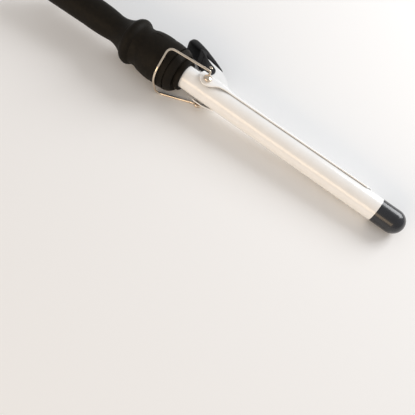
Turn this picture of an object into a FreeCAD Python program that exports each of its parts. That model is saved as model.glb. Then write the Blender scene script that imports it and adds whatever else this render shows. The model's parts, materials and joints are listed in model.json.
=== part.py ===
"""Curling iron with a spring clip, a thumb lever and a swinging wire stand.

Every piece is drawn in the iron's own frame, in millimetres: X runs along the barrel towards the
tip from the front of the insulating ring, Z points at the clip. A common placement then lays the
iron on its handle bulge, its tip and the end of its thumb lever, with +Z up.
"""

import FreeCAD, Part
import math
import os
import Sketcher

from FreeCAD import Placement, Rotation, Vector

DRIVING = {
    # barrel and tip
    "barrel_radius": 9.5,
    "barrel_wall": 0.8,
    "barrel_length": 180.0,
    "barrel_inset": 26.0,
    "tip_length": 24.0,
    "tip_plug": 8.0,
    "tip_wall": 2.0,
    # heater inside the barrel
    "heater_start": 18.0,
    "heater_end": 150.0,
    "spreader_gap": 0.6,
    "spreader_slot": 3.4,
    "ceramic_length": 100.0,
    "ceramic_width": 11.0,
    "ceramic_thickness": 2.2,
    "ceramic_middle": 80.0,
    "film_length": 110.0,
    "film_width": 13.0,
    "film_thickness": 0.3,
    "film_height": 1.4,
    "clamp_length": 14.0,
    "clamp_width": 9.0,
    "clamp_thickness": 0.8,
    "clamp_middle": 141.0,
    # insulating ring and the sleeve that carries the barrel
    "ring_radius": 12.6,
    "ring_width": 4.5,
    "ring_chamfer": 0.7,
    "sleeve_radius": 11.2,
    "sleeve_length": 22.0,
    "press_gap": 0.02,
    # handle outline, as distances behind the ring's front face and radii
    "lip_back": 4.5,
    "lip_radius": 16.6,
    "lip_rounding": 1.0,
    "cap_back": 11.0,
    "cap_groove": 1.4,
    "cap_radius": 18.5,
    "collar_back": 22.0,
    "collar_radius": 19.0,
    "valley_back": 44.0,
    "valley_radius": 16.6,
    "bulge_back": 50.5,
    "bulge_radius": 19.5,
    "neck_back": 68.5,
    "neck_radius": 11.3,
    "grip_back": 97.0,
    "grip_radius": 12.4,
    "tail_back": 148.0,
    "tail_radius": 13.5,
    "tail_rounding": 3.0,
    "handle_wall": 2.0,
    "split_gap": 0.02,
    # screws that hold the handle's halves together
    "boss_radius": 3.2,
    "post_radius": 2.6,
    "screw_way": 1.2,
    "counterbore": 2.4,
    "pilot_radius": 0.95,
    "pilot_depth": 9.0,
    "screw_radius": 0.9,
    "screw_reach": 8.0,
    "screw_head": 2.1,
    "screw_head_height": 1.5,
    "screw_drive_depth": 0.7,
    "head_floor": 5.0,
    # swivelling cord gland
    "gland_radius": 8.6,
    "gland_length": 13.0,
    "gland_neck": 6.0,
    "gland_shoulder": 2.4,
    "gland_inside": 3.0,
    "gland_gap": 0.4,
    "cord_hole": 3.1,
    "running_gap": 0.05,
    # pivot of the clip and of the wire stand
    "pivot_ahead": 18.8,
    "pivot_below": 3.2,
    "pin_radius": 1.6,
    "rivet_inner": 9.7,
    "rivet_shank": 5.0,
    "rivet_dome": 4.35,
    "rivet_dome_middle": 11.35,
    "rivet_head_base": 14.5,
    "rivet_head_height": 1.4,
    # clip: spoon, cone, saddle with ears, and raised tail
    "sheet": 0.9,
    "spoon_gap": 0.45,
    "spoon_end": 171.5,
    "spoon_rounding": 9.0,
    "seam_rear": 0.9,
    "seam_front": 3.0,
    "saddle_radius": 12.3,
    "saddle_back": 11.0,
    "saddle_front": 30.0,
    "cone_front": 39.0,
    "ear_depth": 4.0,
    "ear_shoulder": 6.5,
    "tail_width": 12.6,
    "tail_opening": 10.8,
    "window_front": 27.0,
    # bracket under the clip's ears, with the spring on its posts
    "bracket_sheet": 1.2,
    "bracket_back": 14.5,
    "bracket_front": 23.5,
    "bracket_low": 5.4,
    "post_at": 4.3,
    "post_length": 3.6,
    "post_thickness": 0.9,
    "post_height": 5.6,
    "spring_ahead": 16.5,
    "spring_height": 12.6,
    "spring_pin": 0.8,
    "spring_pin_length": 10.2,
    "spring_radius": 1.45,
    "spring_wire": 0.4,
    "spring_pitch": 0.95,
    # thumb lever
    "lever_width": 13.4,
    "skirt_width": 14.8,
    "lever_end": 23.4,
    "lever_rounding": 5.0,
    "lever_screw": 1.5,
    "lever_screw_height": 0.7,
    "lever_screw_ahead": 10.3,
    "lever_screw_up": 18.5,
    # wire stand
    "wire": 1.8,
    "eye_apart": 13.45,
    "eye_gap": 0.08,
    "neck_angle": 109.0,
    "neck_reach": 4.55,
    "elbow_apart": 16.9,
    "elbow_radius": 1.2,
    "stand_back": 16.4,
    "stand_half": 22.4,
    "stand_low": 10.6,
    "stand_bow": 23.9,
    "stand_corner": 5.0,
    "stand_bow_radius": 16.0,
    # controls on the handle's top side
    "switch_back": 109.5,
    "switch_length": 14.0,
    "switch_width": 6.4,
    "switch_axis": 8.4,
    "switch_below": 1.2,
    "switch_above": 5.2,
    "switch_tilt": 6.0,
    "switch_pin": 0.9,
    "switch_pin_length": 8.4,
    "housing_length": 16.4,
    "housing_width": 9.4,
    "housing_low": 2.8,
    "housing_high": 9.3,
    "lens_back": 97.0,
    "lens_radius": 2.0,
    "lens_length": 4.4,
    "lens_low": 8.6,
    "lamp_radius": 1.5,
    "lamp_length": 6.0,
    "lamp_low": 2.4,
    "dial_back": 132.0,
    "dial_radius": 7.0,
    "dial_thickness": 4.0,
    "dial_stem": 2.5,
    "dial_stem_length": 6.0,
    "dial_floor": 11.6,
    "control_gap": 0.3,
    "pot_side": 9.0,
    "pot_height": 4.0,
    "pot_middle": 2.0,
    # electrical parts
    "board_length": 26.0,
    "board_width": 14.0,
    "board_thickness": 1.6,
    "board_back": 103.0,
    "board_low": 1.4,
    "fuse_radius": 1.6,
    "fuse_length": 11.0,
    "fuse_back": 60.0,
    "fuse_height": 3.2,
    "lead_radius": 0.9,
    "lead_length": 80.0,
    "lead_back": 76.0,
    "lead_apart": 4.4,
    "lead_height": 0.6,
    # lying position
    "lever_lean": 17.4,
    "barrel_slope": 2.62,
}

# Handle screws: distance behind the ring, reach of the upper boss and of the lower post.
SCREWS = ((33.0, 17.0), (84.0, 10.5), (121.0, 11.5))
# A slab or hole that only has to pass right through a piece is this long.
THROUGH = 80.0


class Size:
    """A number together with the spreadsheet formula that gives it."""

    def __init__(self, value, formula):
        self.value = value
        self.formula = formula

    def __add__(self, other):
        return Size(self.value + number(other), "(%s + %s)" % (self.formula, formula(other)))

    def __sub__(self, other):
        return Size(self.value - number(other), "(%s - %s)" % (self.formula, formula(other)))

    def __mul__(self, factor):
        return Size(self.value * number(factor), "(%s * %s)" % (self.formula, formula(factor)))

    def __neg__(self):
        return Size(-self.value, "(0 - %s)" % self.formula)

    def __radd__(self, other):
        return as_size(other) + self


def number(size):
    return size.value if isinstance(size, Size) else float(size)


def formula(size):
    if isinstance(size, Size):
        return size.formula
    return "%r" % float(size) if size >= 0 else "(0 - %r)" % -float(size)


def as_size(size):
    return size if isinstance(size, Size) else Size(number(size), formula(size))


doc = FreeCAD.newDocument("CurlingIron")


def make_sheet():
    sheet = doc.addObject("Spreadsheet::Sheet", "Dims")
    for row, (name, value) in enumerate(DRIVING.items(), start=1):
        sheet.set("A%d" % row, name)
        sheet.set("B%d" % row, str(value))
        sheet.setAlias("B%d" % row, name)
    doc.recompute()


class Sheet:
    """The driving dimensions as attributes, such as dim.barrel_radius."""

    def __getattr__(self, name):
        return Size(DRIVING[name], "Dims." + name)


make_sheet()
dim = Sheet()
subparts = []


def bind(thing, property_name, size):
    thing.setExpression(property_name, formula(size))


def keep(thing, label):
    """Register a finished piece under the name of its node."""
    if thing.TypeId in ("Part::Box", "Part::Cylinder"):
        thing.Label = label + "_block"
        thing = group(label + "_piece", [thing])
    thing.Label = label
    subparts.append(thing)
    return thing


# ---------------------------------------------------------------- sketch helpers


class Outline:
    """A closed sketch outline of lines and arcs whose corners and radii follow the sheet."""

    def __init__(self, sketch, start):
        self.sketch = sketch
        self.corners = [start]
        self.radii = []

    def line(self, across, up):
        self.corners.append((across, up))
        self.radii.append(None)
        return self

    def arc(self, across, up, radius, turn):
        """An arc to a corner. turn is 1 for counter-clockwise and -1 for clockwise."""
        self.corners.append((across, up))
        self.radii.append((radius, turn))
        return self

    def close(self, last=None):
        """Join the last corner to the first, by a line or by an arc of (radius, turn)."""
        self.radii.append(last)
        count = len(self.corners)
        points = [Vector(number(x), number(y), 0) for x, y in self.corners]
        edges = []
        for i in range(count):
            start, end = points[i], points[(i + 1) % count]
            if self.radii[i] is None:
                edges.append((self.sketch.addGeometry(Part.LineSegment(start, end)), 1, 2))
                continue
            edges.append(self._add_arc(start, end, number(self.radii[i][0]), self.radii[i][1]))
        for i in range(count):
            edge, _, last = edges[i]
            following, first, _ = edges[(i + 1) % count]
            join = Sketcher.Constraint("Coincident", edge, last, following, first)
            self.sketch.addConstraint(join)
        for i, (edge, first, _) in enumerate(edges):
            self._fix(edge, first, self.corners[i])
            if self.radii[i] is not None:
                radius = Sketcher.Constraint("Radius", edge, number(self.radii[i][0]))
                self._bind(self.sketch.addConstraint(radius), self.radii[i][0])
        return self.sketch

    def _add_arc(self, start, end, radius, turn):
        chord = end - start
        half = chord.Length / 2
        rise = math.sqrt(max(radius * radius - half * half, 0.0))
        left = Vector(-chord.y, chord.x, 0).normalize()
        centre = (start + end) * 0.5 + left * rise * turn
        circle = Part.Circle(centre, Vector(0, 0, 1), radius)
        angle_start = math.atan2(start.y - centre.y, start.x - centre.x)
        angle_end = math.atan2(end.y - centre.y, end.x - centre.x)
        if turn > 0:
            return self.sketch.addGeometry(Part.ArcOfCircle(circle, angle_start, angle_end)), 1, 2
        return self.sketch.addGeometry(Part.ArcOfCircle(circle, angle_end, angle_start)), 2, 1

    def _fix(self, edge, vertex, corner):
        for kind, size in zip(("DistanceX", "DistanceY"), corner):
            place = Sketcher.Constraint(kind, -1, 1, edge, vertex, number(size))
            self._bind(self.sketch.addConstraint(place), size)

    def _bind(self, index, size):
        if isinstance(size, Size):
            self.sketch.setExpression("Constraints[%d]" % index, size.formula)


PLANES = {
    "side": Rotation(Vector(1, 0, 0), 90),
    "top": Rotation(),
}


def free_sketch(plane, name):
    """A sketch seen from the side (X, Z) or from the top (X, Y)."""
    sketch = doc.addObject("Sketcher::SketchObject", name)
    sketch.Placement = Placement(Vector(), PLANES[plane])
    return sketch


def turned(label, start, steps):
    """A body turned about the X axis from an outline of (distance along, radius) corners."""
    body = doc.addObject("PartDesign::Body", label)
    sketch = body.newObject("Sketcher::SketchObject", label + "_outline")
    plane = [f for f in body.Origin.OriginFeatures if f.Role == "XZ_Plane"][0]
    sketch.AttachmentSupport = [(plane, "")]
    sketch.MapMode = "FlatFace"
    outline = Outline(sketch, start)
    for step in steps:
        if len(step) == 2:
            outline.line(*step)
        else:
            outline.arc(*step)
    outline.close()
    revolution = body.newObject("PartDesign::Revolution", label + "_turning")
    revolution.Profile = sketch
    revolution.ReferenceAxis = (sketch, ["H_Axis"])
    doc.recompute()
    return body


def extruded(sketch, width, name):
    """A sketch pushed out equally to both sides of its plane."""
    solid = doc.addObject("Part::Extrusion", name)
    solid.Base = sketch
    solid.DirMode = "Normal"
    solid.Solid = True
    solid.Symmetric = True
    bind(solid, "LengthFwd", width)
    return solid


def cylinder(name, radius, length, at, axis):
    """A cylinder that starts at a point and runs along an axis."""
    solid = doc.addObject("Part::Cylinder", name)
    bind(solid, "Radius", radius)
    bind(solid, "Height", length)
    place(solid, at, Rotation(Vector(0, 0, 1), Vector(*axis)))
    return solid


def box(name, length, width, height, centre):
    """A box given by its sizes along X, Y and Z and its centre."""
    solid = doc.addObject("Part::Box", name)
    for property_name, size in (("Length", length), ("Width", width), ("Height", height)):
        bind(solid, property_name, size)
    sizes = [as_size(size) for size in (length, width, height)]
    corner = [as_size(middle) - size * 0.5 for middle, size in zip(centre, sizes)]
    place(solid, corner, Rotation())
    return solid


def place(thing, at, rotation):
    thing.Placement = Placement(Vector(*[number(c) for c in at]), rotation)
    for letter, size in zip("xyz", at):
        if isinstance(size, Size):
            thing.setExpression("Placement.Base." + letter, size.formula)


def fused(name, pieces):
    union = doc.addObject("Part::MultiFuse", name)
    union.Shapes = pieces
    return union


def cut(name, base, tool):
    result = doc.addObject("Part::Cut", name)
    result.Base = base
    result.Tool = tool
    return result


def common(name, pieces):
    result = doc.addObject("Part::MultiCommon", name)
    result.Shapes = pieces
    return result


def group(name, pieces):
    """Identical pieces kept as separate solids in one node."""
    result = doc.addObject("Part::Compound", name)
    result.Links = pieces
    return result


# ---------------------------------------------------------------- barrel and heater


def make_barrel():
    bore = dim.barrel_radius - dim.barrel_wall
    tube = turned("barrel_tube", (-dim.barrel_inset, bore), [
        (dim.barrel_length, bore),
        (dim.barrel_length, dim.barrel_radius),
        (-dim.barrel_inset, dim.barrel_radius),
    ])
    keep(tube, "barrel_tube")


def make_cool_tip():
    """A hollow black cap: a plug inside the tube, a straight band and a domed end."""
    plug = dim.barrel_radius - dim.barrel_wall - dim.running_gap
    end = dim.barrel_length + dim.tip_length
    dome_start = end - dim.barrel_radius
    cavity = plug - dim.tip_wall
    tip = turned("cool_tip", (dim.barrel_length - dim.tip_plug, cavity), [
        (dome_start, cavity),
        (dome_start + cavity, 0),
        (end, 0),
        (dome_start, dim.barrel_radius, dim.barrel_radius, 1),
        (dim.barrel_length, dim.barrel_radius),
        (dim.barrel_length, plug),
        (dim.barrel_length - dim.tip_plug, plug),
    ])
    keep(tip, "cool_tip")


def make_heater():
    """Two aluminium half rounds press a flat ceramic heater, wrapped in film, between them."""
    length = dim.heater_end - dim.heater_start
    middle = (dim.heater_start + dim.heater_end) * 0.5
    radius = dim.barrel_radius - dim.barrel_wall - dim.spreader_gap
    for label, side in (("heat_spreader_upper", 1), ("heat_spreader_lower", -1)):
        rod = cylinder(label + "_rod", radius, length, (dim.heater_start, 0, 0), (1, 0, 0))
        height = (dim.barrel_radius + dim.spreader_slot * 0.5) * side
        sides = (length + 2, dim.barrel_radius * 3, dim.barrel_radius * 2)
        half = box(label + "_half", *sides, (middle, 0, height))
        keep(common(label, [rod, half]), label)
    at = (dim.ceramic_middle, 0, 0)
    keep(box("ceramic", dim.ceramic_length, dim.ceramic_width, dim.ceramic_thickness, at), "ceramic_heater")
    film = []
    for side in (1, -1):
        at = (dim.ceramic_middle, 0, dim.film_height * side)
        film.append(box("film", dim.film_length, dim.film_width, dim.film_thickness, at))
    keep(group("insulating_films", film), "insulating_films")
    at = (dim.clamp_middle, 0, 0)
    keep(box("clamp", dim.clamp_length, dim.clamp_width, dim.clamp_thickness, at), "heater_clamp")


def make_insulating_ring():
    """A heat-proof flange in front of the handle with a sleeve that carries the barrel."""
    hole = dim.barrel_radius + dim.press_gap
    ring = turned("insulating_ring", (-dim.sleeve_length, hole), [
        (-dim.ring_chamfer, hole),
        (0, hole + dim.ring_chamfer),
        (0, dim.ring_radius - dim.ring_chamfer),
        (-dim.ring_chamfer, dim.ring_radius),
        (-dim.ring_width, dim.ring_radius),
        (-dim.ring_width, dim.sleeve_radius),
        (-dim.sleeve_length, dim.sleeve_radius),
    ])
    keep(ring, "insulating_ring")


# ---------------------------------------------------------------- handle


def make_collar_cap():
    """The front ring of the handle, dished around the insulating ring."""
    inner = dim.sleeve_radius + dim.running_gap
    floor = -dim.ring_width - 0.2
    rounding = dim.lip_rounding
    groove = -dim.cap_back + dim.cap_groove
    cap = turned("collar_cap", (-dim.cap_back, inner), [
        (floor, inner),
        (floor, dim.ring_radius + dim.control_gap),
        (-dim.lip_back, dim.ring_radius + rounding),
        (-dim.lip_back, dim.lip_radius - rounding),
        (-dim.lip_back - rounding, dim.lip_radius),
        (groove, dim.cap_radius, 14.0, 1),
        (groove, dim.cap_radius - rounding),
        (-dim.cap_back, dim.cap_radius - rounding),
    ])
    keep(cap, "collar_cap")


def shell_steps(wall):
    """The handle's long line from the collar to the tail, offset inwards by a wall."""
    waist = dim.valley_radius - wall
    steps = [
        (-dim.collar_back, dim.collar_radius - wall, 40.0, 1),
        (-dim.valley_back + 6.0, dim.valley_radius + 1.2 - wall, 46.0, 1),
        (-dim.valley_back - 2.5, waist + 0.4, 12.0, -1),
        (-dim.bulge_back, dim.bulge_radius - wall, 6.5, 1),
        (-dim.bulge_back - 5.3, dim.bulge_radius - 2.8 - wall, 6.0, 1),
        (-dim.neck_back + 4.0, dim.neck_radius + 0.9 - wall, 22.0, -1),
        (-dim.neck_back - 4.0, dim.neck_radius - wall, 22.0, -1),
        (-dim.grip_back, dim.grip_radius - wall, 160.0, 1),
    ]
    return steps


def reversed_steps(start, steps):
    """The same line walked backwards, from its end to its start."""
    corners = [start] + [(step[0], step[1]) for step in steps]
    back = []
    for i in range(len(steps) - 1, -1, -1):
        across, up = corners[i]
        if len(steps[i]) == 2:
            back.append((across, up))
        else:
            back.append((across, up, steps[i][2], -steps[i][3]))
    return back


def drilled(label, piece, holes):
    """A piece with a set of holes or pockets taken out of it."""
    return cut(label, piece, fused(label + "_holes", holes))


def make_handle_shells():
    """Two half shells, split level with the barrel's axis, with a gland hole at the tail."""
    wall = dim.handle_wall
    outer_start = (-dim.cap_back, dim.cap_radius)
    inner_start = (-dim.cap_back, dim.cap_radius - wall)
    hole = dim.gland_neck + dim.running_gap
    rounded = dim.tail_back - dim.tail_rounding
    tail = [
        (-dim.tail_back + wall, dim.grip_radius - wall + 0.5),
        (-dim.tail_back + wall, hole),
        (-dim.tail_back, hole),
        (-dim.tail_back, dim.tail_radius - dim.tail_rounding),
        (-rounded, dim.tail_radius, dim.tail_rounding, -1),
        (-dim.grip_back, dim.grip_radius),
    ]
    outer = shell_steps(Size(0, "0"))
    whole = turned("handle_shell", inner_start, shell_steps(wall) + tail + reversed_steps(outer_start, outer))
    halves = {}
    for name, side in (("upper", 1), ("lower", -1)):
        at = (-dim.tail_back * 0.5, 0, (dim.split_gap + THROUGH / 4) * side)
        slab = box("slab_" + name, dim.tail_back + THROUGH, THROUGH, THROUGH / 2, at)
        halves[name] = common("half_" + name, [whole, slab])
    make_handle_upper(halves["upper"])
    make_handle_lower(halves["lower"])


def make_handle_upper(half):
    """The top shell: bosses over the screws and openings for the switch, lamp and dial."""
    up = (0, 0, 1)
    bosses = []
    for back, reach in SCREWS:
        bosses.append(cylinder("boss", dim.boss_radius, reach, (-back, 0, dim.split_gap), up))
    with_bosses = fused("upper_with_bosses", [half] + bosses)
    gap = dim.control_gap
    wide = (dim.switch_length + 2.0, dim.switch_width + gap * 2, dim.switch_above * 2)
    above = dim.switch_axis + dim.switch_above
    stem_low = dim.dial_floor - dim.dial_stem_length
    openings = [
        box("switch_hole", *wide, (-dim.switch_back, 0, above)),
        cylinder("lens_hole", dim.lens_radius + 0.1, THROUGH, (-dim.lens_back, 0, dim.lens_low), up),
        cylinder("dial_hole", dim.dial_stem + gap, THROUGH, (-dim.dial_back, 0, stem_low), up),
        cylinder("dial_seat", dim.dial_radius + gap, THROUGH, (-dim.dial_back, 0, dim.dial_floor), up),
    ]
    for back, _ in SCREWS:
        openings.append(cylinder("screw_way", dim.screw_way, THROUGH, (-back, 0, -1), up))
        openings.append(cylinder("counterbore", dim.counterbore, THROUGH, (-back, 0, dim.head_floor), up))
    keep(drilled("handle_upper", with_bosses, openings), "handle_upper")


def make_handle_lower(half):
    """The bottom shell, with a post and a pilot hole for each screw."""
    down = (0, 0, -1)
    posts = []
    pilots = []
    for back, reach in SCREWS:
        posts.append(cylinder("post", dim.post_radius, reach, (-back, 0, -dim.split_gap), down))
        pilots.append(cylinder("pilot", dim.pilot_radius, dim.pilot_depth, (-back, 0, 0), down))
    keep(drilled("handle_lower", fused("lower_with_posts", [half] + posts), pilots), "handle_lower")


def make_handle_screws():
    up = (0, 0, 1)
    screws = []
    floor = dim.head_floor
    for back, _ in SCREWS:
        reach = floor + dim.screw_reach
        shank = cylinder("screw_shank", dim.screw_radius, reach, (-back, 0, -dim.screw_reach), up)
        head = cylinder("screw_head", dim.screw_head, dim.screw_head_height, (-back, 0, floor), up)
        low = floor + dim.screw_head_height - dim.screw_drive_depth
        drive = cylinder("screw_drive", dim.screw_radius, dim.screw_head_height, (-back, 0, low), up)
        screws.append(cut("screw", fused("screw_blank", [shank, head]), drive))
    keep(group("handle_screws", screws), "handle_screws")


# ---------------------------------------------------------------- clip


def clip_sheet():
    """The turned part of the clip's sheet: a saddle, a short cone and the long spoon."""
    inner = dim.barrel_radius + dim.spoon_gap
    outer = inner + dim.sheet
    saddle = dim.saddle_radius
    return turned("clip_blank", (dim.saddle_back, saddle - dim.sheet), [
        (dim.saddle_front, saddle - dim.sheet),
        (dim.cone_front, inner),
        (dim.spoon_end, inner),
        (dim.spoon_end, outer),
        (dim.cone_front, outer),
        (dim.saddle_front, saddle),
        (dim.saddle_back, saddle),
    ])


def clip_side():
    """The clip's side line: a straight seam, then an ear that drops round the pivot."""
    beyond = dim.spoon_end + 1.0
    behind = dim.saddle_back - 1.0
    low = dim.pivot_below + dim.ear_depth
    side = Outline(free_sketch("side", "clip_side"), (beyond, dim.seam_front))
    side.line(beyond, THROUGH / 2)
    side.line(behind + dim.ear_depth + 0.6, THROUGH / 2)
    side.line(behind + dim.ear_depth + 0.6, 10.3)
    side.line(dim.saddle_back, dim.ear_shoulder)
    side.line(dim.saddle_back, -1.0)
    side.arc(dim.pivot_ahead, -low, 8.0, 1)
    side.line(dim.pivot_ahead + 2.6, -low + 0.4)
    side.arc(dim.pivot_ahead + 8.8, -low + 3.8, 14.0, 1)
    side.arc(dim.cone_front, dim.seam_rear, 30.0, -1)
    return extruded(side.close(), THROUGH, "clip_side_slab")


def clip_plan():
    """The clip's plan: as wide as it is, with a rounded front end."""
    wide = THROUGH / 2
    outer = dim.barrel_radius + dim.spoon_gap + dim.sheet
    front = dim.spoon_end - dim.spoon_rounding
    plan = Outline(free_sketch("top", "clip_plan"), (0, -wide))
    plan.line(front, -wide)
    plan.line(front, -outer)
    plan.arc(front, outer, outer + 0.5, 1)
    plan.line(front, wide)
    plan.line(0, wide)
    return extruded(plan.close(), THROUGH, "clip_plan_slab")


def clip_tail():
    """The raised tail, a channel that climbs from the saddle into the thumb lever."""
    side = Outline(free_sketch("side", "tail_side"), (dim.cone_front, 8.6))
    side.arc(31.5, 12.6, 18.0, -1)
    side.arc(20.3, 22.7, 30.0, 1)
    side.line(18.4, 24.2)
    side.line(-2.0, 28.7)
    side.line(-2.3, 27.8)
    side.line(8.0, 24.4)
    side.line(11.6, 18.5)
    side.line(13.0, 13.0)
    side.line(15.6, 10.2)
    side.line(dim.saddle_front, 10.2)
    return extruded(side.close(), dim.tail_width, "tail_block")


def clip_opening():
    """The hollow under the tail, open over the spring and open to the rear."""
    side = Outline(free_sketch("side", "opening_side"), (dim.window_front, 0))
    side.line(dim.window_front, dim.saddle_radius + 0.3)
    side.line(29.8, dim.saddle_radius + 0.3)
    side.arc(19.8, 21.8, 29.0, 1)
    side.line(18.0, 23.3)
    side.line(-3.5, 27.9)
    side.line(-3.5, 0)
    return extruded(side.close(), dim.tail_opening, "tail_opening")


def make_clip():
    """One sheet of steel: a spoon over the barrel, two ears at the pivot and a raised tail."""
    blank = common("clip_trimmed", [clip_sheet(), clip_side(), clip_plan()])
    whole = fused("clip_whole", [blank, clip_tail()])
    at = (dim.pivot_ahead, -THROUGH / 2, -dim.pivot_below)
    ear_hole = cylinder("ear_hole", dim.pin_radius + dim.running_gap, THROUGH, at, (0, 1, 0))
    way = cylinder("barrel_way", dim.barrel_radius + dim.spoon_gap, dim.barrel_length, (0, 0, 0), (1, 0, 0))
    keep(drilled("clip", whole, [clip_opening(), ear_hole, way]), "clip")


def lever_side():
    """The paddle's side line: thick and round at the end, drawn out to a prong in front."""
    side = Outline(free_sketch("side", "lever_side"), (-20.6, 35.0))
    side.arc(-1.8, 31.2, 60.0, 1)
    side.line(-2.3, 29.0)
    side.line(18.4, 24.4)
    side.line(18.8, 25.4)
    side.arc(2.8, 34.7, 90.0, 1)
    side.arc(-12.4, 41.1, 90.0, -1)
    side.arc(-18.8, 42.8, 14.0, 1)
    side.arc(-dim.lever_end, 38.8, 4.6, 1)
    return side.close((4.2, 1))


def lever_hollow():
    """The room between the tongues for the clip's tail, closed behind by a thin wall."""
    side = Outline(free_sketch("side", "hollow_side"), (-3.4, 33.0))
    side.line(-2.9, 28.9)
    side.line(-2.7, 27.7)
    side.line(0.2, 26.8)
    side.line(5.8, 23.9)
    side.line(9.7, 18.1)
    side.line(11.0, 9.0)
    side.line(20.0, 9.0)
    side.line(20.0, 33.0)
    return extruded(side.close(), dim.tail_width + 0.2, "lever_hollow")


def lever_relief():
    """A shallow cut behind the wall, so that it clears the collar when the lever is pressed."""
    side = Outline(free_sketch("side", "relief_side"), (-9.5, 32.8))
    side.line(-9.5, 9.0)
    side.line(9.0, 9.0)
    side.line(8.4, 17.2)
    side.line(4.4, 22.9)
    side.line(-1.3, 26.95)
    return extruded(side.close(), dim.tail_width + 0.2, "lever_relief")


def make_lever():
    """A black paddle pushed over the clip's tail, with a screwed tongue down each side."""
    blank = extruded(lever_side(), dim.lever_width, "lever_blank")
    half = dim.lever_width * 0.5
    inset = half - dim.lever_rounding
    plan = Outline(free_sketch("top", "lever_plan"), (dim.saddle_front, -half))
    plan.line(dim.saddle_front, half)
    plan.line(dim.lever_rounding - dim.lever_end, half)
    plan.arc(-dim.lever_end, inset, dim.lever_rounding, 1)
    plan.line(-dim.lever_end, -inset)
    plan.arc(dim.lever_rounding - dim.lever_end, -half, dim.lever_rounding, 1)
    rounded = extruded(plan.close(), THROUGH * 2, "lever_plan_slab")
    paddle = common("lever_paddle", [blank, rounded])

    tongue = Outline(free_sketch("side", "tongue_side"), (-9.0, 31.8))
    tongue.line(-1.2, 26.9)
    tongue.line(3.8, 22.2)
    tongue.line(8.2, 15.6)
    tongue.arc(12.6, 10.75, 9.0, -1)
    tongue.arc(15.9, 15.6, 3.6, 1)
    tongue.arc(12.0, 23.1, 9.0, 1)
    tongue.line(-0.8, 29.0)
    tongue.line(-3.0, 33.4)
    tongues = extruded(tongue.close(), dim.skirt_width, "lever_tongues")
    skirts = drilled("lever_skirts", tongues, [lever_hollow(), lever_relief()])
    keep(fused("thumb_lever", [paddle, skirts]), "thumb_lever")


def make_lever_screws():
    """A small screw through each tongue into the side of the tail."""
    heads = []
    for side in (1, -1):
        at = (dim.lever_screw_ahead, dim.skirt_width * 0.5 * side, dim.lever_screw_up)
        heads.append(cylinder("skirt_screw", dim.lever_screw, dim.lever_screw_height, at, (0, side, 0)))
    keep(group("lever_screws", heads), "lever_screws")


def make_bracket():
    """A steel saddle on the barrel: it carries the rivets and two posts for the spring pin."""
    inner = dim.barrel_radius + dim.press_gap
    outer = inner + dim.bracket_sheet
    back, front = dim.bracket_back, dim.bracket_front
    band = turned("bracket_band", (back, inner), [(front, inner), (front, outer), (back, outer)])
    middle = (back + front) * 0.5
    slab = box("bracket_slab", THROUGH, THROUGH, THROUGH / 2, (middle, 0, -dim.bracket_low + THROUGH / 4))
    pieces = [common("bracket_saddle", [band, slab])]
    for side in (1, -1):
        at = (dim.spring_ahead, dim.post_at * side, outer + dim.post_height * 0.25)
        pieces.append(box("spring_post", dim.post_length, dim.post_thickness, dim.post_height, at))
    across = (0, 1, 0)
    pivot = (dim.pivot_ahead, -THROUGH / 2, -dim.pivot_below)
    spring = (dim.spring_ahead, -THROUGH / 2, dim.spring_height)
    clear = [
        cylinder("bracket_bore", inner, THROUGH, (0, 0, 0), (1, 0, 0)),
        cylinder("pin_bore", dim.spring_pin + dim.press_gap, THROUGH, spring, across),
        cylinder("rivet_bore", dim.pin_radius, THROUGH, pivot, across),
    ]
    keep(drilled("pivot_bracket", fused("bracket_blank", pieces), clear), "pivot_bracket")


def make_rivets():
    """Two short rivets with domed heads: pivots of the clip and of the wire stand."""
    both = []
    ahead, low = dim.pivot_ahead, -dim.pivot_below
    for side in (1, -1):
        at = (ahead, dim.rivet_inner * side, low)
        shank = cylinder("rivet_shank", dim.pin_radius, dim.rivet_shank, at, (0, side, 0))
        ball = doc.addObject("Part::Sphere", "rivet_dome")
        bind(ball, "Radius", dim.rivet_dome)
        place(ball, (ahead, dim.rivet_dome_middle * side, low), Rotation())
        height = dim.rivet_head_height
        middle = dim.rivet_head_base + height * 0.5
        wide = dim.rivet_dome * 3
        slab = box("rivet_slab", wide, height, wide, (ahead, middle * side, low))
        both.append(fused("rivet", [shank, common("rivet_head", [ball, slab])]))
    keep(group("pivot_rivets", both), "pivot_rivets")


def make_spring():
    """A wire torsion spring on a cross pin, pushing up the clip's tail."""
    half = dim.spring_pin_length * 0.5
    at = (dim.spring_ahead, -half, dim.spring_height)
    keep(cylinder("pin_rod", dim.spring_pin, dim.spring_pin_length, at, (0, 1, 0)), "spring_pin")
    radius, pitch = DRIVING["spring_radius"], DRIVING["spring_pitch"]
    room = 2 * DRIVING["post_at"] - DRIVING["post_thickness"] - 2 * DRIVING["wire"] / 2
    turns = math.floor(room / pitch)
    helix = Part.makeHelix(pitch, pitch * turns, radius)
    circle = Part.Circle(Vector(radius, 0, 0), Vector(0, 1, 0), DRIVING["spring_wire"])
    profile = Part.Wire([circle.toShape()])
    coil = Part.Wire(helix).makePipeShell([profile], True, True)
    thing = doc.addObject("Part::Feature", "torsion_spring")
    start = Vector(DRIVING["spring_ahead"], pitch * turns / 2, DRIVING["spring_height"])
    coil.Placement = Placement(start, Rotation(Vector(1, 0, 0), 90))
    thing.Shape = coil
    keep(thing, "torsion_spring")


# ---------------------------------------------------------------- stand


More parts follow.
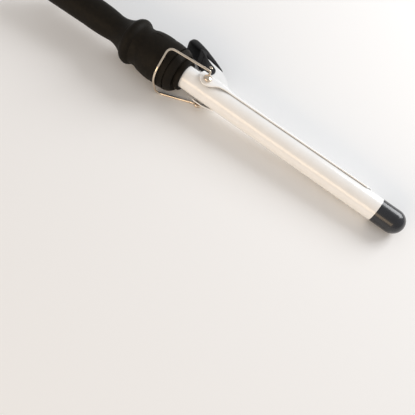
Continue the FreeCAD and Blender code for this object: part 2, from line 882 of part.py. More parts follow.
def rounded_wire(corners, radii):
    """Straight runs joined by tangent arcs."""
    edges = []
    start = corners[0]
    for i in range(1, len(corners) - 1):
        before = (corners[i - 1] - corners[i]).normalize()
        after = (corners[i + 1] - corners[i]).normalize()
        half = math.acos(max(-1.0, min(1.0, before.dot(after)))) / 2
        reach = radii[i - 1] / math.tan(half)
        leave = corners[i] + before * reach
        arrive = corners[i] + after * reach
        bisector = (before + after).normalize()
        middle = corners[i] + bisector * (radii[i - 1] / math.sin(half) - radii[i - 1])
        edges.append(Part.LineSegment(start, leave).toShape())
        edges.append(Part.Arc(leave, middle, arrive).toShape())
        start = arrive
    edges.append(Part.LineSegment(start, corners[-1]).toShape())
    return Part.Wire(edges)


def make_stand():
    """A bent wire: an eye on each rivet, two arms and a crossbar bowed round the collar."""
    wire = DRIVING["wire"] / 2
    apart = DRIVING["eye_apart"]
    pivot = Vector(DRIVING["pivot_ahead"], 0, -DRIVING["pivot_below"])
    eye_radius = DRIVING["pin_radius"] + DRIVING["eye_gap"] + wire
    angle = math.radians(DRIVING["neck_angle"])
    radial = Vector(math.cos(angle), 0, math.sin(angle))
    near = pivot + radial * eye_radius + Vector(0, -apart, 0)
    neck = pivot + radial * DRIVING["neck_reach"] + Vector(0, -apart, 0)
    elbow = Vector(neck.x, -DRIVING["elbow_apart"], neck.z)
    corner = Vector(-DRIVING["stand_back"], -DRIVING["stand_half"], -DRIVING["stand_low"])
    crest = Vector(corner.x, 0, -DRIVING["stand_bow"])
    points = [near, neck, elbow, corner]
    points += [crest] + [Vector(p.x, -p.y, p.z) for p in reversed(points)]
    bend, turn = DRIVING["elbow_radius"], DRIVING["stand_corner"]
    path = rounded_wire(points, [bend, bend, turn, DRIVING["stand_bow_radius"], turn, bend, bend])
    profile = Part.Wire([Part.Circle(near, radial, wire).toShape()])
    bow = path.makePipeShell([profile], True, False)
    eyes = []
    for side in (1, -1):
        ring = Part.makeTorus(eye_radius, wire, Vector(), Vector(0, 1, 0))
        ring.translate(pivot + Vector(0, side * apart, 0))
        eyes.append(ring)
    thing = doc.addObject("Part::Feature", "wire_stand")
    thing.Shape = bow.fuse(eyes)
    keep(thing, "wire_stand")


# ---------------------------------------------------------------- inside the handle


def make_switch():
    """A rocker on two stub axles, and the housing that carries them."""
    length, width = dim.switch_length, dim.switch_width
    middle = (dim.switch_above - dim.switch_below) * 0.5
    block = box("rocker_block", length, width, dim.switch_above + dim.switch_below, (0, 0, middle))
    half = dim.switch_pin_length * 0.5
    axle = cylinder("rocker_axle", dim.switch_pin, dim.switch_pin_length, (0, -half, 0), (0, 1, 0))
    rocker = fused("rocker", [block, axle])
    tilt = Rotation(Vector(0, 1, 0), DRIVING["switch_tilt"])
    place(rocker, (-dim.switch_back, 0, dim.switch_axis), tilt)
    keep(rocker, "rocker_switch")

    low, high = dim.housing_low, dim.housing_high
    at = (-dim.switch_back, 0, (low + high) * 0.5)
    case = box("housing_block", dim.housing_length, dim.housing_width, high - low, at)
    floor = dim.switch_axis - dim.switch_below - 1.4
    pocket_at = (-dim.switch_back, 0, floor + THROUGH / 2)
    pocket = box("housing_pocket", length + 1.2, width + dim.control_gap, THROUGH, pocket_at)
    bore_at = (-dim.switch_back, -half - dim.running_gap, dim.switch_axis)
    bore_length = dim.switch_pin_length + dim.running_gap * 2
    bore = cylinder("axle_bore", dim.switch_pin + dim.running_gap, bore_length, bore_at, (0, 1, 0))
    keep(drilled("switch_housing", case, [pocket, bore]), "switch_housing")


def make_lamp_and_dial():
    """The lamp under its lens, and the heat dial on its potentiometer."""
    up = (0, 0, 1)
    at = (-dim.lens_back, 0, dim.lens_low)
    keep(cylinder("lens", dim.lens_radius, dim.lens_length, at, up), "indicator_lens")
    at = (-dim.lens_back, 0, dim.lamp_low)
    keep(cylinder("lamp", dim.lamp_radius, dim.lamp_length, at, up), "indicator_lamp")
    low = dim.dial_floor - dim.dial_stem_length + dim.control_gap
    stem = cylinder("dial_stem", dim.dial_stem, dim.dial_stem_length, (-dim.dial_back, 0, low), up)
    seat = dim.dial_floor + dim.control_gap
    knob = cylinder("dial_knob", dim.dial_radius, dim.dial_thickness, (-dim.dial_back, 0, seat), up)
    keep(fused("temperature_dial", [stem, knob]), "temperature_dial")
    at = (-dim.dial_back, 0, dim.pot_middle)
    keep(box("pot_case", dim.pot_side, dim.pot_side, dim.pot_height, at), "potentiometer")


def make_electronics():
    at = (-dim.board_back, 0, -dim.board_low)
    keep(box("board", dim.board_length, dim.board_width, dim.board_thickness, at), "circuit_board")
    at = (-dim.fuse_back, 0, dim.fuse_height)
    keep(cylinder("fuse_body", dim.fuse_radius, dim.fuse_length, at, (1, 0, 0)), "thermal_fuse")
    leads = []
    for side in (1, -1):
        at = (-dim.lead_back, dim.lead_apart * side, dim.lead_height)
        leads.append(cylinder("lead", dim.lead_radius, dim.lead_length, at, (1, 0, 0)))
    keep(group("heater_leads", leads), "heater_leads")


def make_gland():
    """The swivelling gland that the supply cord passes through."""
    hole = dim.cord_hole
    inside = dim.tail_back - dim.handle_wall - dim.gland_gap
    outside = dim.tail_back + dim.gland_gap
    end = outside + dim.gland_length
    shoulder = dim.gland_neck + dim.gland_shoulder
    gland = turned("cord_gland", (-inside + dim.gland_inside, hole), [
        (-end, hole),
        (-end, dim.gland_neck - 1.0),
        (-end + dim.gland_length * 0.5, dim.gland_radius - 0.6, 20.0, -1),
        (-outside, dim.gland_radius),
        (-outside, dim.gland_neck),
        (-inside, dim.gland_neck),
        (-inside, shoulder),
        (-inside + dim.gland_inside, shoulder),
    ])
    keep(gland, "cord_gland")


# ---------------------------------------------------------------- writing the pieces


def check():
    doc.recompute()
    for thing in doc.Objects:
        if "Invalid" in thing.State or "Error" in thing.State:
            raise RuntimeError("%s failed: %s" % (thing.Label, thing.State))
    for piece in subparts:
        if piece.Shape.isNull() or not piece.Shape.isValid():
            raise RuntimeError("%s has no valid shape" % piece.Label)


def lying_placement():
    """Roll and slope the iron onto the table, its box centred over the origin."""
    roll = Rotation(Vector(1, 0, 0), -90 - DRIVING["lever_lean"])
    slope = Rotation(Vector(0, 1, 0), DRIVING["barrel_slope"])
    turn = Placement(Vector(), slope.multiply(roll))
    points = []
    for piece in subparts:
        points += [turn.multVec(point) for point in piece.Shape.tessellate(0.05)[0]]
    low = Vector(*[min(getattr(point, letter) for point in points) for letter in "xyz"])
    high = Vector(*[max(getattr(point, letter) for point in points) for letter in "xyz"])
    return Placement(Vector(-(low.x + high.x) / 2, -(low.y + high.y) / 2, -low.z), turn.Rotation)


def write():
    os.makedirs("parts", exist_ok=True)
    for piece in subparts:
        piece.Shape.exportStep("parts/%s.step" % piece.Label)


make_barrel()
make_cool_tip()
make_heater()
make_insulating_ring()
make_collar_cap()
make_handle_shells()
make_handle_screws()
make_clip()
make_lever()
make_lever_screws()
make_bracket()
make_rivets()
make_spring()
make_stand()
make_switch()
make_lamp_and_dial()
make_electronics()
make_gland()
check()
resting = lying_placement()
for piece in subparts:
    piece.Placement = resting.multiply(piece.Placement)
check()
write()
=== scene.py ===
"""Looks of the curling iron: materials, fine mesh pieces, floor, lights and camera. Units are metres."""

import json
import math

import bmesh
import bpy
from mathutils import Matrix, Vector


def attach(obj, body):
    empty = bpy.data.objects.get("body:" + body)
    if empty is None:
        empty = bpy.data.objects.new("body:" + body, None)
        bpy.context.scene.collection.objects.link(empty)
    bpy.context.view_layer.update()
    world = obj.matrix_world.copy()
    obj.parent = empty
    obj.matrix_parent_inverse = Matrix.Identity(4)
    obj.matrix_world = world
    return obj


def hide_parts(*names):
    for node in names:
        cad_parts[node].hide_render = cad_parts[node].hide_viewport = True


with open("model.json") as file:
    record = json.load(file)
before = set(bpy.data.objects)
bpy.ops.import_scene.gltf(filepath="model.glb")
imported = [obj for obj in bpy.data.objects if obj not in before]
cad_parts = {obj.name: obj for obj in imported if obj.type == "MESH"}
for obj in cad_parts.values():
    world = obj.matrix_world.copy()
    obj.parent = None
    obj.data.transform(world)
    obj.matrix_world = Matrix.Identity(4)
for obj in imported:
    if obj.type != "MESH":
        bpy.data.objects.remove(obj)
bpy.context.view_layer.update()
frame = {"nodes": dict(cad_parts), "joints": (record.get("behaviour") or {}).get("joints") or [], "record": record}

joints = {joint["name"]: joint for joint in frame["joints"]}

# The iron's own frame, in millimetres: X to the tip, Z to the clip, origin at the ring's front.
MM = 0.001
PIVOT_AHEAD = 18.8
PIVOT_BELOW = 3.2


def iron_matrix():
    """Turns a point of the iron's own frame, in millimetres, into a point of the row frame."""
    along = -Vector(joints["gland_swivel"]["axis"]).normalized()
    across = -Vector(joints["clip_hinge"]["axis"]).normalized()
    clipward = along.cross(across).normalized()
    matrix = Matrix((along, across, clipward)).transposed().to_4x4()
    pivot = Vector(joints["clip_hinge"]["pos_m"])
    matrix.translation = pivot - along * PIVOT_AHEAD * MM + clipward * PIVOT_BELOW * MM
    return matrix @ Matrix.Scale(MM, 4)


iron = iron_matrix()


# ---------------------------------------------------------------- materials


def new_material(name):
    """An empty node material, with its tree and its shader."""
    material = bpy.data.materials.new(name)
    material.use_nodes = True
    return material, material.node_tree, material.node_tree.nodes["Principled BSDF"]


def noise(tree, scale, detail, roughness):
    """Object-space noise, finer for a larger scale."""
    coordinates = tree.nodes.new("ShaderNodeTexCoord")
    texture = tree.nodes.new("ShaderNodeTexNoise")
    texture.inputs["Scale"].default_value = scale
    texture.inputs["Detail"].default_value = detail
    texture.inputs["Roughness"].default_value = roughness
    tree.links.new(coordinates.outputs["Object"], texture.inputs["Vector"])
    return texture.outputs["Fac"]


def ramp(tree, source, stops):
    """A colour ramp over a 0-1 source; stops are (position, colour) pairs."""
    node = tree.nodes.new("ShaderNodeValToRGB")
    elements = node.color_ramp.elements
    while len(elements) < len(stops):
        elements.new(0.5)
    for element, (position, colour) in zip(elements, stops):
        element.position = position
        element.color = (*colour, 1.0)
    tree.links.new(source, node.inputs["Fac"])
    return node.outputs["Color"]


def span(tree, source, low, high):
    """Maps 0-1 onto low-high."""
    node = tree.nodes.new("ShaderNodeMapRange")
    node.inputs["To Min"].default_value = low
    node.inputs["To Max"].default_value = high
    tree.links.new(source, node.inputs["Value"])
    return node.outputs["Result"]


def bump(tree, shader, height, strength, distance):
    """A fine relief from a height, in metres."""
    node = tree.nodes.new("ShaderNodeBump")
    node.inputs["Strength"].default_value = strength
    node.inputs["Distance"].default_value = distance
    tree.links.new(height, node.inputs["Height"])
    tree.links.new(node.outputs["Normal"], shader.inputs["Normal"])


def grained(name, dark, light, rough, grain, depth, metallic=0.0, coat=0.0, specular=0.5):
    """A material with a slightly varied colour, a varied roughness and a fine bump."""
    material, tree, shader = new_material(name)
    broad = noise(tree, grain * 0.12, 3.0, 0.6)
    fine = noise(tree, grain, 4.0, 0.55)
    tree.links.new(ramp(tree, broad, [(0.3, dark), (0.7, light)]), shader.inputs["Base Color"])
    tree.links.new(span(tree, fine, rough[0], rough[1]), shader.inputs["Roughness"])
    shader.inputs["Metallic"].default_value = metallic
    shader.inputs["Specular IOR Level"].default_value = specular
    shader.inputs["Coat Weight"].default_value = coat
    shader.inputs["Coat Roughness"].default_value = 0.12
    bump(tree, shader, fine, 0.35, depth)
    return material


# Per slot: darkest and lightest colour, roughness range, grain per metre and bump depth in metres.
materials = {}
for slot, dark, light, rough, grain, depth, more in (
    ("white_ceramic", (0.87, 0.86, 0.835), (0.92, 0.91, 0.89),
     (0.16, 0.26), 900, 0.00002, {"coat": 0.5}),
    ("tip_black", (0.010, 0.011, 0.014), (0.016, 0.017, 0.021),
     (0.20, 0.32), 1400, 0.00002, {"coat": 0.2}),
    ("handle_black", (0.0060, 0.0046, 0.0026), (0.0100, 0.0074, 0.0042),
     (0.5, 0.66), 2600, 0.00002, {"specular": 0.12}),
    ("lever_black", (0.005, 0.005, 0.0055), (0.009, 0.0088, 0.009),
     (0.34, 0.48), 2600, 0.00002, {"specular": 0.3}),
    ("chrome", (0.70, 0.58, 0.45), (0.82, 0.71, 0.58),
     (0.08, 0.18), 1200, 0.00001, {"metallic": 1.0}),
    ("steel", (0.42, 0.41, 0.40), (0.56, 0.55, 0.53),
     (0.25, 0.45), 1500, 0.00002, {"metallic": 1.0}),
    ("aluminium", (0.62, 0.63, 0.64), (0.72, 0.73, 0.74),
     (0.3, 0.45), 900, 0.00002, {"metallic": 1.0}),
    ("heater_ceramic", (0.72, 0.70, 0.64), (0.82, 0.80, 0.74),
     (0.6, 0.8), 1500, 0.00003, {}),
    ("film", (0.45, 0.22, 0.04), (0.58, 0.30, 0.07),
     (0.2, 0.35), 700, 0.00002, {}),
    ("switch_black", (0.012, 0.012, 0.013), (0.020, 0.020, 0.022),
     (0.28, 0.42), 2200, 0.00002, {}),
    ("inner_plastic", (0.08, 0.08, 0.085), (0.12, 0.12, 0.125),
     (0.45, 0.6), 1800, 0.00002, {}),
    ("red_lens", (0.45, 0.02, 0.015), (0.62, 0.04, 0.03),
     (0.08, 0.15), 900, 0.00001, {}),
    ("lamp_glass", (0.80, 0.62, 0.45), (0.88, 0.74, 0.58),
     (0.05, 0.12), 900, 0.00001, {}),
    ("board", (0.015, 0.10, 0.035), (0.025, 0.15, 0.06),
     (0.3, 0.45), 1200, 0.00002, {}),
    ("lead_sleeve", (0.62, 0.60, 0.52), (0.75, 0.73, 0.66),
     (0.6, 0.8), 2400, 0.00004, {}),
):
    materials[slot] = grained(slot, dark, light, rough, grain, depth, **more)
slot_of = {part["node"]: part["material_slot"] for part in frame["record"]["subparts"]}
for node, thing in frame["nodes"].items():
    thing.data.materials.clear()
    thing.data.materials.append(materials[slot_of[node]])

# ---------------------------------------------------------------- mesh helpers


def finish_piece(name, mesh, slot, body, *nodes):
    """Put a mesh drawn in the iron's frame into the scene as a piece that stands for CAD nodes."""
    mesh.transform(iron)
    mesh.materials.clear()
    mesh.materials.append(materials[slot])
    piece = bpy.data.objects.new(name, mesh)
    bpy.context.scene.collection.objects.link(piece)
    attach(piece, body)
    if nodes:
        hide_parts(*nodes)
    return piece


def to_mesh(name, work, sharp=38.0):
    """Smooth-shaded mesh from a bmesh, with edges sharper than an angle kept sharp."""
    bmesh.ops.recalc_face_normals(work, faces=work.faces)
    limit = math.radians(sharp)
    for face in work.faces:
        face.smooth = True
    for edge in work.edges:
        if len(edge.link_faces) == 2:
            edge.smooth = edge.calc_face_angle(0.0) < limit
    mesh = bpy.data.meshes.new(name)
    work.to_mesh(mesh)
    work.free()
    return mesh


def round_edges(work, width, angle=40.0, steps=3):
    """Round every edge that turns more than an angle."""
    limit = math.radians(angle)
    edges = [e for e in work.edges if len(e.link_faces) == 2 and e.calc_face_angle(0.0) > limit]
    bmesh.ops.bevel(work, geom=edges, offset=width, segments=steps, affect="EDGES", profile=0.5)


def skin(work, rings, closed=True):
    """Faces between successive rings of points, with a cap at each end."""
    made = [[work.verts.new(point) for point in ring] for ring in rings]
    count = len(made[0])
    for one, two in zip(made, made[1:]):
        for i in range(count):
            j = (i + 1) % count
            work.faces.new((one[i], one[j], two[j], two[i]))
    if closed:
        work.faces.new(made[0])
        work.faces.new(list(reversed(made[-1])))
    return made


def smooth_loop(corners, steps=6):
    """A closed smooth line through corners (Catmull-Rom)."""
    count = len(corners)
    line = []
    for i in range(count):
        p0, p1, p2, p3 = (Vector(corners[(i + k) % count]) for k in (-1, 0, 1, 2))
        for k in range(steps):
            t = k / steps
            line.append(0.5 * (2 * p1 + (p2 - p0) * t + (2 * p0 - 5 * p1 + 4 * p2 - p3) * t * t
                               + (3 * p1 - p0 - 3 * p2 + p3) * t ** 3))
    return line


def plate(work, outline, low, high):
    """A side outline of (x, z) corners made solid between two values of y."""
    rings = [[Vector((x, y, z)) for x, z in outline] for y in (low, high)]
    skin(work, rings)


def lathe(work, profile, centre, axis, start, segments=48, ripple=None):
    """Turn a profile of (distance along, radius) about an axis; ripple changes the radius by angle."""
    axis = Vector(axis).normalized()
    side = Vector(start).normalized()
    third = axis.cross(side)
    rings = []
    for distance, radius in profile:
        ring = []
        for i in range(segments):
            angle = 2 * math.pi * i / segments
            size = radius * (ripple(angle, distance) if ripple else 1.0)
            spoke = side * math.cos(angle) + third * math.sin(angle)
            ring.append(Vector(centre) + axis * distance + spoke * size)
        rings.append(ring)
    skin(work, rings)


def wire_piece(name, points, radius, smooth=True, steps=12):
    """A round wire along points of the iron's frame, as a mesh."""
    curve = bpy.data.curves.new(name, "CURVE")
    curve.dimensions = "3D"
    curve.bevel_depth = radius
    curve.bevel_resolution = 6
    curve.use_fill_caps = True
    spline = curve.splines.new("NURBS" if smooth else "POLY")
    spline.points.add(len(points) - 1)
    for point, place in zip(spline.points, points):
        point.co = (*place, 1.0)
    if smooth:
        spline.order_u = 3
        spline.use_endpoint_u = True
        spline.resolution_u = steps
    holder = bpy.data.objects.new(name + "_curve", curve)
    mesh = bpy.data.meshes.new_from_object(holder)
    bpy.data.objects.remove(holder)
    for polygon in mesh.polygons:
        polygon.use_smooth = True
    return mesh


def rounded_corner(before, corner, after, radius, steps=8):
    """Points of the arc that rounds a corner of a wire."""
    back = (before - corner).normalized()
    ahead = (after - corner).normalized()
    half = back.angle(ahead) / 2
    reach = radius / math.tan(half)
    centre = corner + (back + ahead).normalized() * (radius / math.sin(half))
    first = corner + back * reach - centre
    last = corner + ahead * reach - centre
    turn = first.angle(last)
    points = []
    for i in range(steps + 1):
        t = i / steps
        blended = first * math.sin((1 - t) * turn) + last * math.sin(t * turn)
        points.append(centre + blended / math.sin(turn))
    return points


# ---------------------------------------------------------------- thumb lever

LEVER_HALF = 6.7
TONGUE_HALF = 7.4
TAIL_HALF = 6.4
# Stations of the paddle: x, underside z, top z and half width.
PADDLE = (
    (-23.4, 37.3, 39.4, 2.6),
    (-22.9, 36.2, 40.7, 4.4),
    (-21.8, 35.4, 41.8, 5.7),
    (-20.2, 34.9, 42.6, 6.3),
    (-18.2, 34.4, 42.9, 6.6),
    (-15.2, 33.7, 42.2, LEVER_HALF),
    (-12.0, 33.1, 41.2, LEVER_HALF),
    (-6.4, 32.2, 39.0, LEVER_HALF),
    (-2.6, 31.6, 37.4, LEVER_HALF),
    (-1.8, 29.2, 37.0, LEVER_HALF),
    (2.8, 28.0, 34.8, LEVER_HALF),
    (8.0, 26.8, 32.0, LEVER_HALF),
    (12.6, 25.75, 29.1, LEVER_HALF),
    (16.2, 24.9, 26.9, 6.6),
    (18.6, 24.4, 25.3, 6.2),
)
# The tongue's outline as (x, z), from the paddle down its rear edge and round the screw.
TONGUE = (
    (-9.0, 32.4), (-5.2, 29.8), (-1.2, 26.9), (3.8, 22.2), (8.0, 16.0),
    (10.2, 12.2), (12.7, 10.9), (15.1, 12.3), (15.9, 15.6), (14.7, 19.2),
    (12.0, 21.6), (7.0, 23.8), (3.0, 26.0), (-0.8, 29.0), (-3.4, 33.2),
)
# The wall between the tongues, seen from the side.
BACK_WALL = (
    (-9.0, 32.9), (-1.3, 26.95), (4.4, 22.9), (8.4, 17.2), (9.7, 18.1),
    (5.8, 23.9), (0.2, 26.8), (-2.7, 27.7), (-2.9, 28.9), (-3.4, 33.0),
)
SCREW_AT = (10.3, 18.5)


def squarish(x, low, high, half, count=36, power=4.5):
    """A rounded-rectangle section across the lever."""
    ring = []
    middle, rise = (low + high) / 2, (high - low) / 2
    for i in range(count):
        angle = 2 * math.pi * i / count
        c, s = math.cos(angle), math.sin(angle)
        y = half * math.copysign(abs(c) ** (2 / power), c)
        z = rise * math.copysign(abs(s) ** (2 / power), s)
        ring.append(Vector((x, y, middle + z)))
    return ring


def make_thumb_lever():
    work = bmesh.new()
    skin(work, [squarish(*station) for station in PADDLE])
    for side in (-1, 1):
        flank = bmesh.new()
        plate(flank, smooth_loop(TONGUE, 5), side * TAIL_HALF, side * TONGUE_HALF)
        bmesh.ops.recalc_face_normals(flank, faces=flank.faces)
        round_edges(flank, 0.35)
        flank_mesh = bpy.data.meshes.new("flank")
        flank.to_mesh(flank_mesh)
        flank.free()
        work.from_mesh(flank_mesh)
        bpy.data.meshes.remove(flank_mesh)
    plate(work, BACK_WALL, -TAIL_HALF - 0.1, TAIL_HALF + 0.1)
    mesh = to_mesh("thumb_lever_moulding", work)
    finish_piece("thumb_lever_moulding", mesh, "lever_black", "clip", "thumb_lever")


def cross_recess(angle, distance):
    """Draws the radius in along a cross, on the rings at the recess's edge."""
    if distance > 0.5 or distance < 0.3:
        return 1.0
    return 0.72 + 0.28 * math.cos(4 * angle)


def make_lever_screws():
    """Domed heads with a cross recess, sunk a little into the tongues."""
    work = bmesh.new()
    profile = [(-0.1, 1.5), (0.25, 1.5), (0.45, 1.35), (0.62, 1.0), (0.68, 0.55), (0.42, 0.5), (0.4, 0.02)]
    for side in (-1, 1):
        centre = (SCREW_AT[0], side * TONGUE_HALF, SCREW_AT[1])
        lathe(work, profile, centre, (0, side, 0), (1, 0, 0), 32, cross_recess)
    finish_piece("lever_screw_heads", to_mesh("lever_screw_heads", work), "chrome", "clip", "lever_screws")


# ---------------------------------------------------------------- pivot, spring and stand

WIRE = 0.9
EYE_APART = 13.45
PIN = 1.6
RIVET_HEAD_AT = 14.5
PIVOT = Vector((PIVOT_AHEAD, 0, -PIVOT_BELOW))
NECK_ANGLE = math.radians(109.0)
NECK_REACH = 4.55
EYE_GAP = 0.08
EYE_TURN = 0.9
ELBOW_APART = 16.9
ELBOW_BEND = 1.2
CORNER_BEND = 5.0
BOW_BEND = 16.0
STAND_CORNER = Vector((-16.4, -22.4, -10.6))
STAND_CREST = -23.9
SPRING_AT = Vector((16.5, 0, 12.6))
SPRING_RADIUS = 1.45
SPRING_PITCH = 0.95
SPRING_WIRE = 0.4


def make_rivets():
    """Round rivet heads with a thin rim and a shallow dome, on their shanks."""
    work = bmesh.new()
    profile = [(-4.6, PIN), (0.0, PIN), (0.02, 2.85), (0.12, 2.98), (0.28, 2.96), (0.36, 2.8), (0.6, 2.3),
               (0.9, 1.6), (1.1, 0.85), (1.17, 0.4), (1.2, 0.02)]
    for side in (-1, 1):
        centre = PIVOT + Vector((0, side * RIVET_HEAD_AT, 0))
        lathe(work, profile, centre, (0, side, 0), (1, 0, 0), 48)
    mesh = to_mesh("rivet_heads", work, 50)
    finish_piece("rivet_heads", mesh, "chrome", "handle_and_barrel", "pivot_rivets")


def make_stand():
    """One bent wire: eyes wound on the rivets, elbows, two arms and a bowed crossbar."""
    sideways = Vector((0, -EYE_APART, 0))
    eye = PIN + EYE_GAP + WIRE
    crest = Vector((STAND_CORNER.x, 0, STAND_CREST))
    half = []
    steps = 24
    for i in range(steps, -1, -1):
        angle = NECK_ANGLE - 2 * math.pi * i / steps * EYE_TURN
        half.append(PIVOT + sideways + Vector((math.cos(angle), 0, math.sin(angle))) * eye)
    neck = PIVOT + sideways + Vector((math.cos(NECK_ANGLE), 0, math.sin(NECK_ANGLE))) * NECK_REACH
    elbow = Vector((neck.x, -ELBOW_APART, neck.z))
    half += rounded_corner(half[-1], neck, elbow, ELBOW_BEND)
    half += rounded_corner(neck, elbow, STAND_CORNER, ELBOW_BEND)
    half += rounded_corner(elbow, STAND_CORNER, crest, CORNER_BEND)
    mirrored = [Vector((p.x, -p.y, p.z)) for p in reversed(half)]
    far_corner = Vector((STAND_CORNER.x, -STAND_CORNER.y, STAND_CORNER.z))
    bow = rounded_corner(STAND_CORNER, crest, far_corner, BOW_BEND, 14)
    mesh = wire_piece("stand_wire", half + bow + mirrored, WIRE, smooth=False)
    finish_piece("stand_wire", mesh, "chrome", "stand", "wire_stand")


def make_spring():
    """The torsion spring: a close coil whose two legs run back and rest on the barrel."""
    points = []
    coils, per_turn = 7, 16
    half = coils * SPRING_PITCH / 2
    leg_y, leg_x = 6.6, 8.2
    points.append(Vector((leg_x - 1.8, -leg_y - 0.4, 6.9)))
    points.append(Vector((leg_x, -leg_y, 7.6)))
    points.append(Vector((leg_x + 3.2, -half - 0.9, 9.8)))
    for i in range(coils * per_turn + 1):
        angle = math.pi * 1.25 - 2 * math.pi * i / per_turn
        y = -half + 2 * half * i / (coils * per_turn)
        spoke = Vector((math.cos(angle), 0, math.sin(angle)))
        points.append(SPRING_AT + Vector((0, y, 0)) + spoke * SPRING_RADIUS)
    points.append(Vector((leg_x + 3.2, half + 0.9, 9.8)))
    points.append(Vector((leg_x, leg_y, 7.6)))
    points.append(Vector((leg_x - 1.8, leg_y + 0.4, 6.9)))
    mesh = wire_piece("spring_wire", points, SPRING_WIRE, steps=4)
    finish_piece("spring_wire", mesh, "steel", "handle_and_barrel", "torsion_spring")


# ---------------------------------------------------------------- controls and gland

DIAL_BACK, DIAL_FLOOR, DIAL_RADIUS = -132.0, 11.9, 7.0
GLAND_START, GLAND_LENGTH, CORD_HOLE = -148.4, 13.0, 3.1
RIBS, RIB_PITCH, RIB_RADIUS, RIB_TAPER = 5, 2.1, 8.5, 0.62
SWITCH_AT = Vector((-109.5, 0, 8.4))
SWITCH_TILT = math.radians(6.0)


def dial_flutes(angle, distance):
    """Shallow flutes on the part of the rim that a fingertip turns."""
    if not 0.3 < distance < 3.3:
        return 1.0
    return 1.0 - 0.025 * (0.5 + 0.5 * math.cos(28 * angle))


def make_dial():
    """A heat dial with a fluted rim, a dished face and one raised pointer."""
    work = bmesh.new()
    profile = [(-5.6, 2.5), (0.0, 2.5), (0.02, 6.6), (0.35, DIAL_RADIUS), (3.2, DIAL_RADIUS), (3.7, 6.8),
               (4.0, 6.3), (3.75, 5.6), (3.45, 3.0), (3.4, 0.02)]
    centre = (DIAL_BACK, 0, DIAL_FLOOR)
    lathe(work, profile, centre, (0, 0, 1), (1, 0, 0), 168, dial_flutes)
    pointer = [(2.2, -0.45), (5.6, -0.3), (5.9, 0.0), (5.6, 0.3), (2.2, 0.45)]
    rings = [[Vector((DIAL_BACK + x, y, DIAL_FLOOR + z)) for x, y in pointer] for z in (3.3, 3.95)]
    skin(work, rings)
    finish_piece("dial_knob", to_mesh("dial_knob", work, 30), "switch_black", "dial", "temperature_dial")


def make_rocker():
    """A rocker with a dished top, rounded edges and a raised bar at one end for 'on'."""
    work = bmesh.new()
    half_x, half_y, low = 7.0, 3.2, -1.2
    ends, dish, steps = 5.2, 1.0, 16
    rings = []
    for k in range(steps + 1):
        x = -half_x + 2 * half_x * k / steps
        top = ends - dish * (1 - (x / half_x) ** 2)
        corners = ((-half_y, low), (half_y, low), (half_y, top), (-half_y, top))
        rings.append([Vector((x, y, z)) for y, z in corners])
    skin(work, rings)
    bmesh.ops.recalc_face_normals(work, faces=work.faces)
    round_edges(work, 0.45)
    mark = ((4.4, -1.2), (5.1, -1.2), (5.1, 1.2), (4.4, 1.2))
    skin(work, [[Vector((x, y, z)) for x, y in mark] for z in (4.2, 4.95)])
    lathe(work, [(-4.2, 0.7), (-4.0, 0.9), (4.0, 0.9), (4.2, 0.7)], (0, 0, 0), (0, 1, 0), (1, 0, 0), 24)
    turn = Matrix.Translation(SWITCH_AT) @ Matrix.Rotation(SWITCH_TILT, 4, "Y")
    bmesh.ops.transform(work, matrix=turn, verts=work.verts)
    finish_piece("rocker_button", to_mesh("rocker_button", work), "switch_black", "switch", "rocker_switch")


def make_gland():
    """The swivelling gland: a tapered boot with flexible ribs round its cord hole."""
    work = bmesh.new()
    inner_end = GLAND_START + 0.4 + 2.0 + 0.4 + 3.0
    profile = [(inner_end, CORD_HOLE), (inner_end, 8.4), (inner_end - 3.0, 8.4), (inner_end - 3.0, 6.0),
               (GLAND_START, 6.0), (GLAND_START, 8.2), (GLAND_START - 0.4, 8.6)]
    end = GLAND_START - GLAND_LENGTH
    for k in range(RIBS):
        start = GLAND_START - 1.6 - k * RIB_PITCH
        size = RIB_RADIUS - RIB_TAPER * k
        profile += [(start, size), (start - 0.25, size - 0.75)]
        profile += [(start - 0.85, size - 0.85), (start - 1.1, size - 0.25)]
    profile += [(end + 0.4, 5.2), (end, 4.8), (end, CORD_HOLE + 0.3), (end + 0.4, CORD_HOLE)]
    made = []
    for distance, radius in profile:
        ring = []
        for i in range(64):
            angle = 2 * math.pi * i / 64
            ring.append(Vector((distance, radius * math.cos(angle), radius * math.sin(angle))))
        made.append(ring)
    skin(work, made + [made[0]], closed=False)
    bmesh.ops.remove_doubles(work, verts=work.verts, dist=0.0001)
    finish_piece("gland_boot", to_mesh("gland_boot", work, 50), "handle_black", "gland", "cord_gland")


make_thumb_lever()
make_lever_screws()
make_rivets()
make_stand()
make_spring()
make_dial()
make_rocker()
make_gland()

# ---------------------------------------------------------------- floor, lights and camera

FLOOR_HALF = 3.0


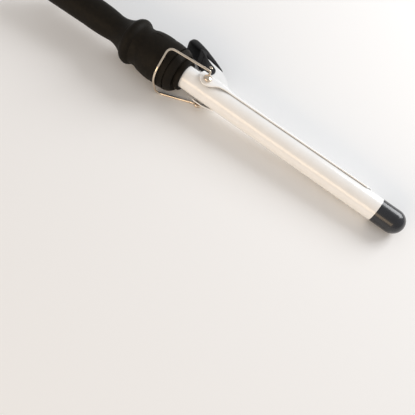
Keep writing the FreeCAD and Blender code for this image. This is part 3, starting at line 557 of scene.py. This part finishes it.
def make_floor():
    """A plain pale floor under the iron."""
    mesh = bpy.data.meshes.new("floor")
    corners = ((-1, -1), (1, -1), (1, 1), (-1, 1))
    mesh.from_pydata([(x * FLOOR_HALF, y * FLOOR_HALF, 0) for x, y in corners], [], [(0, 1, 2, 3)])
    floor = bpy.data.objects.new("floor", mesh)
    bpy.context.scene.collection.objects.link(floor)
    material, tree, shader = new_material("floor")
    shader.inputs["Base Color"].default_value = (0.90, 0.895, 0.885, 1)
    shader.inputs["Roughness"].default_value = 0.9
    mesh.materials.append(material)


def area_light(name, place, aim, size, power, colour):
    """A soft rectangular light at a place, aimed at a point."""
    data = bpy.data.lights.new(name, "AREA")
    data.shape = "RECTANGLE"
    data.size, data.size_y = size
    data.energy = power
    data.color = colour
    light = bpy.data.objects.new(name, data)
    light.location = place
    light.rotation_euler = (Vector(aim) - Vector(place)).to_track_quat("-Z", "Y").to_euler()
    bpy.context.scene.collection.objects.link(light)


def make_camera():
    """The view from above the clip's near side, given in the iron's own frame."""
    data = bpy.data.cameras.new("camera")
    data.lens = 43.4
    data.sensor_width = 36.0
    data.clip_start = 0.01
    camera = bpy.data.objects.new("camera", data)
    place = Vector((128.0, -241.7, -309.35))
    back = Vector((0.1327, -0.7461, -0.6525)).normalized()
    right = Vector((0.7981, -0.3100, 0.5167)).normalized()
    up = back.cross(right).normalized()
    right = up.cross(back)
    turn = iron.to_3x3().normalized() @ Matrix((right, up, back)).transposed()
    camera.matrix_world = Matrix.Translation(iron @ place) @ turn.to_4x4()
    bpy.context.scene.collection.objects.link(camera)
    bpy.context.scene.camera = camera


make_floor()
bpy.context.scene.view_settings.view_transform = "Standard"
world = bpy.data.worlds.new("studio")
world.use_nodes = True
world.node_tree.nodes["Background"].inputs["Color"].default_value = (0.97, 0.98, 1.0, 1)
world.node_tree.nodes["Background"].inputs["Strength"].default_value = 0.51
bpy.context.scene.world = world
area_light("key", (0.50, 0.80, 0.60), (0.05, 0, 0), (0.6, 0.6), 9, (0.97, 0.98, 1.0))
area_light("warm_fill", (-0.2, -1.6, 0.65), (0, 0, 0), (1.6, 0.7), 13.0, (1.0, 0.74, 0.48))
make_camera()
